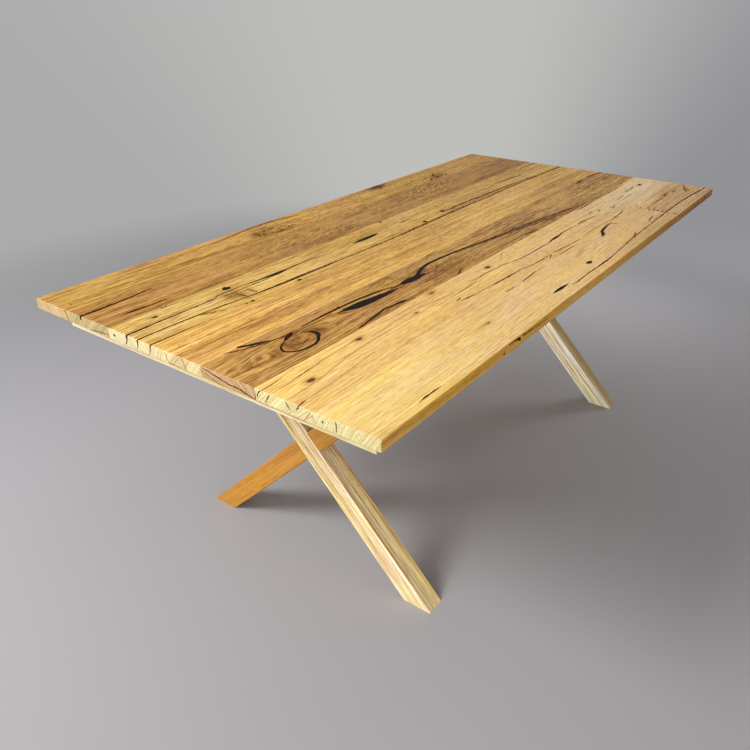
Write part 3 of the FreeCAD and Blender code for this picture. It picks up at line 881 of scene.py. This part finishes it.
# Dark veins of the top: stations along, across and width. Its spots: along, across, length and width
TOP_LINES = (
    ((0, 170, 5), (60, 170, 5.4), (120, 168, 5), (170, 164, 4), (205, 160, 1.6)),
    ((66, 236, 2), (86, 238, 5), (120, 241, 5.4), (146, 243, 4), (176, 244, 1.6)),
    ((0, 334, 4), (60, 332, 4), (130, 331, 4.4), (200, 331, 4), (245, 330, 2.6)),
    ((0, 368, 3.6), (90, 369, 3.8), (180, 372, 3)),
    ((0, 409, 3.4), (80, 409, 3.4), (125, 410, 2.2)),
    ((326, 322, 2.4), (370, 324, 3.6), (412, 328, 4.6)),
    ((325, 335, 2.6), (370, 337, 4), (415, 338, 2.6)),
    ((480, 330, 4), (540, 328, 3.4), (600, 329, 2)),
    ((985, 331, 1.6), (1012, 331.5, 5), (1044, 331, 1.6)),
    ((330, 384, 3.4), (400, 386, 4.4), (480, 388, 4.6), (560, 391, 4.6), (640, 395, 4.6), (732, 397, 5),
     (867, 400, 6), (1000, 398, 6), (1150, 396, 6.4), (1300, 395, 6.2), (1400, 398, 4.6),
     (1500, 394, 4.6), (1600, 393, 5.6), (1760, 396, 6), (1900, 400, 6.4), (1998, 402, 5.6)),
    ((1165, 370, 3), (1240, 371, 6), (1330, 370, 6.4), (1430, 374, 6.6), (1560, 378, 6.4), (1680, 382, 5.6),
     (1800, 390, 3)),
    ((1590, 325, 2), (1660, 331, 5.4), (1720, 337, 5.4), (1785, 345, 2)),
    ((1865, 292, 2), (1930, 291, 5.6), (1996, 295, 5.4)),
    ((96, 554, 5), (112, 562, 6.4), (126, 572, 4.6), (142, 579, 4), (158, 586, 3.6), (178, 592, 3.4),
     (196, 592, 2)),
    ((206, 599, 4.4), (190, 606, 3.4), (172, 612, 3.4), (158, 618, 3.6), (147, 627, 3.8)),
    ((170, 634, 1.6), (180, 642, 2.8), (192, 646, 3), (205, 643, 2.6), (217, 641, 1.6)),
    ((246, 591, 2.4), (300, 590, 4.4), (380, 589, 4.6)),
    ((500, 604, 4.6), (530, 610, 4.8), (556, 618, 5.2), (575, 618, 5), (594, 615, 4)),
    ((1120, 629, 2), (1200, 640, 5), (1270, 650, 5.4), (1340, 661, 5.4), (1420, 675, 4.8), (1500, 686, 3.8),
     (1560, 691, 2)),
    ((312, 695, 2.2), (340, 690, 4), (365, 685, 4)),
    ((470, 678, 3.6), (490, 682, 3.6), (508, 690, 3.4), (526, 696, 2)),
    ((714, 696, 2.2), (732, 691, 5), (750, 683, 2)),
    ((1108, 686, 2), (1140, 688, 5.4), (1182, 691, 2)),
    ((1765, 569, 2), (1800, 563, 6.4), (1845, 557, 2)),
    ((1880, 556, 2.4), (1935, 558, 6.6), (1996, 570, 6)),
    ((1085, 773, 2.4), (1104, 769, 4), (1128, 766, 5)),
    ((562, 782, 1.6), (574, 780, 4), (588, 778, 1.6)),
    ((572, 789, 2), (600, 792, 3.6), (626, 796, 2)),
    ((700, 800, 2.2), (740, 802, 4.6), (790, 804, 4.2), (812, 805, 2.2)),
    ((766, 847, 2), (800, 845, 3.8), (830, 843, 4.2), (852, 842, 2.2)),
    ((980, 955, 2.4), (1010, 955, 4.6), (1050, 956, 4.2), (1080, 955, 2)),
    ((1760, 940, 2.4), (1810, 941, 4.6), (1850, 943, 5.6), (1900, 947, 6.4), (1996, 953, 5.6)),
    ((135, 962, 1.4), (168, 961, 4), (205, 962, 1.4)),
    ((0, 803, 3.6), (10, 802, 3.6), (22, 801, 2)),
)
TOP_SPOTS = (
    (28, 88, 6, 4), (28, 96, 6, 4), (137, 276, 9, 5), (147, 276, 7, 5),
    (959, 278, 14, 11), (1044, 384, 20, 13), (1176, 364, 22, 14), (204, 598, 20, 11),
    (1480, 763, 14, 8), (1896, 752, 26, 10), (243, 624, 12, 11), (268, 408, 7, 6), (287, 409, 10, 9),
    (450, 406, 14, 9),
)
BLACK_SPOTS = ((303, 304, 24, 18), (995, 924, 28, 15), (94, 304, 18, 9))

# Brown gum lines of the top: stations along, across and width
GUM_LINES = (
    ((550, 26, 3), (600, 20, 4.6), (640, 14, 5.4), (690, 10, 5.6), (740, 9, 5.6), (785, 12, 5.6),
     (820, 20, 5), (872, 30, 2.4)),
    ((640, 90, 3), (648, 70, 9), (646, 52, 3)),
    ((652, 98, 3), (660, 82, 7), (668, 74, 3)),
    ((671, 66, 2.4), (682, 60, 4.6), (692, 54, 2.4)),
    ((680, 41, 2.4), (698, 38, 4.2), (714, 34, 2.4)),
    ((684, 93, 2), (692, 86, 4.2)),
    ((690, 101, 3), (708, 101, 5), (730, 101, 4.6), (748, 103, 5.4), (762, 98, 2.4)),
    ((714, 97, 2.4), (722, 93, 5.4), (731, 87, 2.4)),
    ((752, 91, 2), (760, 85, 4.6), (768, 79, 2)),
    ((774, 83, 1.6), (782, 78, 3)),
    ((722, 30, 1.6), (730, 22, 3)),
    ((740, 54, 2), (752, 49, 3.4), (762, 52, 2)),
    ((340, 84, 1.6), (375, 83, 3), (412, 82, 1.6)),
    ((1268, 20, 5), (1288, 12, 12), (1312, 6, 7)),
    ((1288, 38, 4), (1306, 28, 9), (1324, 18, 5)),
    ((1340, 14, 3), (1356, 6, 6)),
    ((1498, 118, 4), (1514, 108, 9), (1522, 96, 6)),
    ((1540, 116, 4), (1560, 106, 8), (1580, 100, 4)),
    ((1560, 82, 4), (1576, 74, 8), (1594, 64, 4)),
    ((1586, 106, 4), (1602, 98, 7), (1612, 94, 4)),
    ((1600, 118, 4), (1614, 110, 8), (1626, 102, 4)),
    ((1480, 92, 3), (1500, 86, 5), (1530, 78, 3)),
    ((455, 189, 1.6), (487, 189, 3.2), (522, 188, 1.6)),
    ((205, 233, 1.6), (225, 232, 2.8), (242, 231, 1.6)),
    ((245, 330, 2.8), (256, 323, 4.4), (275, 322, 4.6), (302, 323, 3.6), (326, 322, 2.6)),
    ((262, 332, 3), (290, 338, 5), (322, 336, 3.4)),
    ((293, 344, 4.6), (297, 360, 5.4), (298, 378, 4)),
    ((330, 348, 3.4), (331, 364, 4), (332, 378, 3)),
    ((180, 372, 3), (230, 374, 3.4), (260, 378, 3.2), (330, 384, 3.4)),
    ((160, 374, 2.4), (174, 378, 6), (186, 382, 4)),
    ((180, 386, 2.4), (190, 388, 5), (198, 386, 2.4)),
    ((200, 390, 2), (207, 395, 4), (213, 401, 2)),
    ((125, 410, 2.4), (165, 411, 1.6)),
    ((62, 553, 2.4), (84, 564, 4.4), (100, 572, 4), (118, 579, 2.4)),
    ((246, 598, 1.6), (290, 600, 3.2), (342, 600, 1.6)),
    ((342, 604, 3), (352, 612, 7), (364, 620, 3)),
    ((530, 626, 2.4), (552, 632, 4.4), (574, 634, 2.4)),
    ((590, 655, 1.6), (640, 660, 3.2), (682, 664, 1.6)),
    ((776, 558, 1.6), (806, 556, 3.6), (832, 556, 1.6)),
    ((850, 607, 1.8), (950, 621, 3.4), (1050, 635, 3.8), (1150, 651, 4), (1270, 668, 4.6), (1400, 688, 4.4),
     (1560, 696, 2.4)),
    ((1440, 703, 2.4), (1500, 705, 5.4), (1560, 704, 5), (1640, 702, 5), (1700, 703, 5.4), (1800, 703, 4.6),
     (1860, 705, 2)),
    ((1176, 764, 4.6), (1230, 764, 4), (1290, 768, 2.4)),
    ((1296, 768, 2.4), (1330, 766, 5), (1354, 768, 4.2), (1385, 773, 3.4), (1420, 773, 2)),
    ((820, 948, 1.8), (836, 954, 3.2), (920, 953, 4), (980, 955, 4), (1050, 956, 3.6), (1110, 953, 3),
     (1200, 948, 3.8), (1290, 944, 4.4), (1400, 943, 4.2), (1500, 940, 4.4), (1600, 939, 4.8),
     (1700, 939, 5), (1780, 940, 5), (1830, 942, 3)),
    ((690, 746, 1.6), (730, 748, 3), (760, 747, 3), (800, 751, 3.2), (840, 753, 2.8), (870, 759, 2.4),
     (920, 768, 3.6), (980, 770, 3.8), (1050, 771, 3.8), (1085, 773, 2.4)),
    ((590, 760, 1.4), (640, 759, 2.8), (700, 757, 1.4)),
    ((812, 805, 2.4), (850, 807, 2.8), (874, 812, 3), (920, 816, 4.2), (990, 817, 2.4)),
    ((958, 831, 1.6), (980, 824, 3), (996, 819, 1.6)),
    ((1012, 816, 2), (1050, 820, 4), (1090, 824, 4.2), (1165, 828, 2)),
    ((680, 847, 1.6), (702, 847, 3.6), (728, 848, 1.6)),
    ((852, 843, 2), (904, 842, 1.6)),
    ((1004, 838, 1.8), (1050, 838, 3.6), (1094, 839, 1.8)),
    ((1394, 830, 2), (1440, 830, 4), (1490, 828, 4), (1532, 822, 2)),
    ((1420, 753, 2), (1440, 750, 4), (1462, 746, 2)),
    ((1534, 780, 2), (1550, 784, 4.6), (1572, 780, 2)),
    ((1756, 746, 2.4), (1800, 749, 4.4), (1830, 747, 4.4), (1858, 742, 2.4)),
    ((1280, 942, 2), (1308, 937, 4), (1332, 932, 2)),
    ((1458, 929, 2), (1490, 922, 4.6), (1532, 919, 2)),
    ((1660, 873, 2), (1720, 875, 4.4), (1762, 880, 2)),
    ((1786, 873, 2.4), (1808, 870, 7), (1842, 868, 2.4)),
    ((1850, 880, 2), (1874, 881, 5), (1896, 881, 2)),
    ((1896, 917, 3), (1922, 904, 7), (1960, 890, 5), (1988, 880, 3)),
    ((1916, 922, 3), (1930, 912, 6), (1950, 902, 3)),
    ((1362, 846, 2.4), (1372, 852, 4.6), (1382, 860, 2.4)),
    ((0, 716, 2.6), (26, 714, 3), (56, 713, 1.6)),
    ((60, 735, 1.6), (100, 731, 2.6), (148, 727, 1.6)),
)
GUM_SPOTS = ((803, 729, 22, 10), (672, 117, 10, 6), (1190, 188, 20, 9))

# Faint grain lines of the pale boards: stations along, across and width
GRAIN_LINES = (
    ((8, 737, 2), (60, 735, 2.4)),
    ((148, 727, 2.4), (205, 723, 2.8), (262, 724, 2)),
    ((8, 774, 2), (80, 771, 2.8), (130, 765, 3), (165, 760, 3), (215, 754, 3), (280, 750, 2.8),
     (350, 750, 2)),
    ((24, 801, 2.4), (100, 797, 3), (160, 792, 3), (245, 785, 2)),
    ((180, 820, 0.6), (300, 815, 1.8), (450, 814, 2), (540, 820, 1.6), (600, 823, 0.6)),
    ((360, 717, 2), (440, 718, 3), (520, 722, 3), (600, 722, 2)),
    ((452, 733, 2), (500, 737, 3), (560, 745, 3), (604, 750, 2)),
    ((626, 796, 2.4), (660, 798, 3), (700, 800, 2.4)),
    ((300, 738, 1.8), (400, 734, 2.6), (450, 733, 2)),
    ((10, 501, 3), (60, 507, 4), (120, 512, 4.4), (200, 515, 4.4), (280, 517, 4), (340, 520, 3),
     (460, 530, 1.8)),
    ((15, 490, 2), (150, 488, 3), (230, 494, 3.6), (280, 503, 4), (330, 508, 4), (352, 518, 2.4)),
    ((30, 455, 1.8), (60, 447, 2.6), (100, 434, 3), (150, 430, 3), (200, 434, 3), (260, 444, 3),
     (330, 453, 2.6), (440, 457, 1.8)),
    ((430, 424, 1.8), (470, 432, 3), (520, 438, 3.2), (580, 446, 1.8)),
    ((400, 500, 1.8), (450, 512, 3), (520, 522, 3), (600, 530, 1.8)),
    ((1200, 826, 2), (1300, 824, 4), (1394, 829, 3)),
    ((1630, 762, 2), (1680, 760, 4.4), (1724, 757, 2)),
    ((1644, 777, 2), (1720, 774, 4), (1760, 776, 2)),
    ((1950, 772, 2), (1996, 780, 4)),
    ((880, 725, 1.8), (930, 706, 3.2)),
    ((1000, 780, 2), (1006, 796, 3.6), (1000, 810, 2.4)),
)

# Cracks of the near end face: stations across, below the top and width
END_LINES = (
    ((107, 1, 1), (114, 6, 1.8), (118, 12, 1.8), (120, 23, 1.2)),
    ((203, 23, 0.8), (236, 19, 1.8), (270, 16, 1.4)),
    ((334, 1.2, 3.4), (331, 11, 2.8), (325, 23, 1.6)),
    ((369, 1.2, 3.4), (367, 11, 2.8), (363, 23, 1.6)),
    ((409, 1.2, 3.4), (406, 11, 2.8), (402, 23, 1.6)),
    ((451, 1.5, 1), (456, 12, 1.8), (461, 21, 1.6), (483, 23.5, 1.4), (499, 24, 0.8)),
    ((558, 2, 1.4), (592, 8, 2.6), (629, 15, 2.8), (648, 15, 2.8), (665, 17, 2.8), (697, 24, 2)),
    ((699, 6, 1.2), (699, 14, 2.2), (699, 24, 1.6)),
    ((713, 1, 1.6), (708, 6, 3), (705, 13, 2.6), (703, 18, 1.2)),
    ((736, 1, 1.8), (731, 9, 2.6), (723, 21, 1.4)),
    ((774, 2, 1.6), (778, 8, 2.4), (783, 15, 1.2)),
    ((804.5, 1.8, 2.4), (801, 6, 2.4), (797, 11, 1.2)),
    ((886, 1, 2), (887, 11, 2.4), (887, 21, 1.4)),
)
END_SPOTS = ((289, 12, 8, 7), (857, 12, 4, 5))

# Thin brown lines of the end grain: stations across, below the top and width
END_BROWN_LINES = (
    ((502, 1, 1.2), (508, 12, 2.4), (513, 24, 1.6)),
    ((559, 9, 0.8), (590, 19, 1.6), (618, 24, 1)),
    ((814, 24, 0.8), (823, 14, 1.4), (830, 4, 0.8)),
    ((832, 8, 0.8), (841, 20, 1.2)),
)

# A shake and a hole of the right side face: stations along, below the top and width
SIDE_LINES = (
    ((434, 3.4, 1.2), (446, 3.4, 3.4), (462, 3.6, 4.2), (474, 4.6, 4.6), (482, 6.5, 7), (488, 10, 7),
     (487, 15, 3)),
    ((496, 5, 2.6), (508, 5.8, 3.4), (530, 6.6, 2.8), (560, 8, 1.8), (590, 9.4, 1.6), (628, 10.6, 0.8)),
)
SIDE_SPOTS = ((418, 16, 9, 5),)

# The butt joint of the two-length board, a thin line with darker dashes
BUTT_AT = (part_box("top_board_7_short")[0].x - cad_low.x) / MM
BUTT_LINES = (
    ((BUTT_AT, 839, 0.8), (BUTT_AT, 978, 0.8)),
    ((BUTT_AT - 6, 858, 4), (BUTT_AT + 6, 857, 4)),
    ((BUTT_AT - 8, 887, 5), (BUTT_AT + 8, 886, 5)),
    ((BUTT_AT - 6, 900, 5), (BUTT_AT + 8, 900, 5)),
    ((BUTT_AT - 4, 912, 6), (BUTT_AT + 10, 912, 6)),
    ((BUTT_AT - 8, 927, 6), (BUTT_AT + 6, 929, 6)),
    ((BUTT_AT - 6, 966, 8), (BUTT_AT + 4, 972, 8)),
)

inlay("fine_veins_top", on_top, VEIN, TOP_LINES, TOP_SPOTS)
inlay("pin_holes_top", on_top, PIN_HOLE, spots=BLACK_SPOTS)
inlay("gum_lines_top", on_top, GUM, GUM_LINES, GUM_SPOTS)
inlay("grain_lines_top", on_top, GRAIN, GRAIN_LINES)
inlay("fine_cracks_near_end", on_near_end, VEIN, END_LINES, END_SPOTS)
inlay("brown_lines_near_end", on_near_end, GUM, END_BROWN_LINES)
inlay("butt_joint_line", on_top, JOINT, BUTT_LINES)
inlay("hollow_right_side", on_right_side, VEIN, SIDE_LINES, SIDE_SPOTS)


# Straight grain of the right-footed legs

LEG_REACH = 430
LEG_ENDS = 60
FRONT_OFFSETS = (-22, -17.5, -11, -6.5, -1, 9, 20)
OUTER_OFFSETS = (5, 9, 14, 18.5, 24, 29, 35, 41, 45, 50)
FRONT_SLANT = 1.0
OUTER_SLANT = 0.0
LINE_LENGTHS = (160, 420)
LINE_GAPS = (8, 40)
LINE_WIDTHS = (1.1, 2.4)
LINE_DRIFTS = (-1.2, 1.2)
LINE_TIP = 0.6
SHORTEST_LINE = 40


def leg_faces(end):
    """Places on the front of a right-footed leg, and on its upper face back from its front."""
    height, front, _ = leg_frame(end)
    run, rise = Vector(TO_RIGHT_FOOT[0]), Vector(TO_RIGHT_FOOT[1])
    middle = Vector((front, 0.0, height))
    upper = middle + rise * (HALF_LEG * MM)
    return places_on(middle, run, rise, -AHEAD), places_on(upper, run, AHEAD, rise)


def straight_grain(offsets, slant, chance):
    """Broken lines that run along a leg, as stations along, across and width."""
    lines = []
    for offset in offsets:
        start = -LEG_REACH + slant * offset + LEG_ENDS * chance.random()
        stop = LEG_REACH + slant * offset - LEG_ENDS * chance.random()
        at = start
        while at < stop - SHORTEST_LINE:
            length = min(chance.uniform(*LINE_LENGTHS), stop - at)
            drift = chance.uniform(*LINE_DRIFTS)
            width = chance.uniform(*LINE_WIDTHS)
            tips = (at, offset + drift, LINE_TIP), (at + length, offset - drift, LINE_TIP)
            lines.append((tips[0], (at + length / 2, offset, width), tips[1]))
            at += length + chance.uniform(*LINE_GAPS)
    return lines


for end in ("near", "far"):
    chance = random.Random(SEED)
    front_lines = straight_grain(FRONT_OFFSETS, FRONT_SLANT, chance)
    outer_lines = straight_grain(OUTER_OFFSETS, OUTER_SLANT, chance)
    on_front, on_outer = leg_faces(end)
    inlay(end + "_leg_front_grain", on_front, LEG_GRAIN, front_lines)
    inlay(end + "_leg_outer_grain", on_outer, LEG_GRAIN, outer_lines)


# Floor, light and camera

FLOOR_SIZE = 400
FLOOR_GREY = tone(166, 164, 167)
FLOOR_ROUGHNESS = 0.9
FLOOR_SHINE = 0.1
BACKDROP_GREY = tone(190, 190, 187)
BACKDROP_LEFT = tone(172, 172, 172)
BACKDROP_RIGHT = tone(146, 146, 150)
LEFT_FADE = (0.0, -0.5)
RIGHT_FADE = (0.15, 0.55)
BACKDROP_FROM = 1.9
BACKDROP_TO = 3.4
SKY_LOW = 0.72
SKY_HIGH = 0.32
SKY_TOP = 0.8

# Lamps: place, aim, size, power and spread in degrees
LAMPS = {
    "key": ((-2.7, 1.1, 2.5), (0, 0, cad_high.z), 1.2, 102, 180),
    "fill": ((-7, 1.5, 1.6), (-0.7, 0, 0.4), 3, 89, 180),
    "right": ((-5.4, -4.6, 1.3), (-0.4, -0.2, 0.4), 2, 75, 180),
    "back": ((4, -0.4, 2.4), (0.2, 0, 0.4), 1.5, 36, 180),
    "low": ((-2.4, -0.9, 0.2), (0.6, -0.22, 0.28), 0.3, 0.22, 14),
    "rim": ((2, 0.05, 1.6), (1.4, 0.05, 0), 0.5, 1, 60),
}

CAMERA_PLACE = Vector((-1.77343, -1.04586, 1.38580))
CAMERA_YAW = math.radians(36.374)
CAMERA_PITCH = math.radians(28.524)
CAMERA_ROLL = math.radians(0.1667)
CAMERA_LENS = 34.583


def backdrop_shade(graph, direction):
    """The backdrop's grey, darker to the left and right of where the camera looks."""
    across = (math.sin(CAMERA_YAW), -math.cos(CAMERA_YAW), 0.0)
    side = graph.vector("DOT_PRODUCT", direction, across)
    shade = graph.mix(graph.remap(side, *RIGHT_FADE), BACKDROP_GREY, BACKDROP_RIGHT)
    return graph.mix(graph.remap(side, *LEFT_FADE), shade, BACKDROP_LEFT)


def seen_directly(graph):
    """1 for what the camera sees straight, in a mirror or through glass, and 0 for light on the object."""
    path = graph.node("LightPath").outputs
    mirrored = graph.math("MAXIMUM", path["Is Glossy Ray"], path["Is Transmission Ray"])
    return graph.math("MAXIMUM", path["Is Camera Ray"], mirrored)


def add_floor():
    """A wide grey floor that turns into the backdrop away from the table."""
    material, graph, surface = new_material("floor_grey")
    paint(graph, surface, FLOOR_GREY, FLOOR_ROUGHNESS, FLOOR_SHINE)
    place = graph.node("NewGeometry").outputs["Position"]
    away = graph.remap(graph.vector("LENGTH", place), BACKDROP_FROM, BACKDROP_TO)
    seen = seen_directly(graph)
    paper = graph.node("Emission", {"Color": backdrop_shade(graph, graph.vector("NORMALIZE", place))})
    tree_nodes = material.node_tree.nodes
    shaders = (graph.times(away, seen), tree_nodes["Principled BSDF"].outputs[0], paper.outputs[0])
    blend = graph.node("MixShader", enumerate(shaders))
    graph.feed(tree_nodes["Material Output"].inputs["Surface"], blend.outputs[0])
    mesh = bmesh.new()
    bmesh.ops.create_grid(mesh, x_segments=1, y_segments=1, size=FLOOR_SIZE / 2)
    floor = add_mesh("floor", mesh, material)


def add_world():
    """Soft light from all round, darker overhead, and the backdrop's grey past the floor."""
    world = bpy.data.worlds.new("studio")
    world.use_nodes = True
    bpy.context.scene.world = world
    graph = Graph(world.node_tree)
    background = world.node_tree.nodes["Background"].inputs
    direction = graph.node("TexCoord").outputs["Generated"]
    level = graph.remap(graph.split(direction)["Z"], 0.0, SKY_TOP, SKY_LOW, SKY_HIGH)
    sky = graph.join(level, level, level)
    seen = seen_directly(graph)
    graph.feed(background["Color"], graph.mix(seen, sky, backdrop_shade(graph, direction)))


def add_light(name, place, aim, size, power, spread):
    data = bpy.data.lights.new(name, "AREA")
    data.spread = math.radians(spread)
    data.shape = "DISK"
    data.size = size
    data.energy = power
    light = add_object(name, data)
    light.location = place
    light.rotation_euler = (Vector(place) - Vector(aim)).to_track_quat("Z", "Y").to_euler()


def add_camera():
    data = bpy.data.cameras.new("camera")
    data.lens = CAMERA_LENS
    camera = add_object("camera", data)
    turn = Matrix.Rotation(CAMERA_YAW - math.pi / 2, 4, "Z")
    tilt = Matrix.Rotation(math.pi / 2 - CAMERA_PITCH, 4, "X")
    roll = Matrix.Rotation(CAMERA_ROLL, 4, "Z")
    camera.matrix_world = Matrix.Translation(CAMERA_PLACE) @ turn @ tilt @ roll
    bpy.context.scene.camera = camera


add_floor()
add_world()
for name, settings in LAMPS.items():
    add_light(name, *settings)
add_camera()
bpy.context.scene.view_settings.view_transform = "Standard"
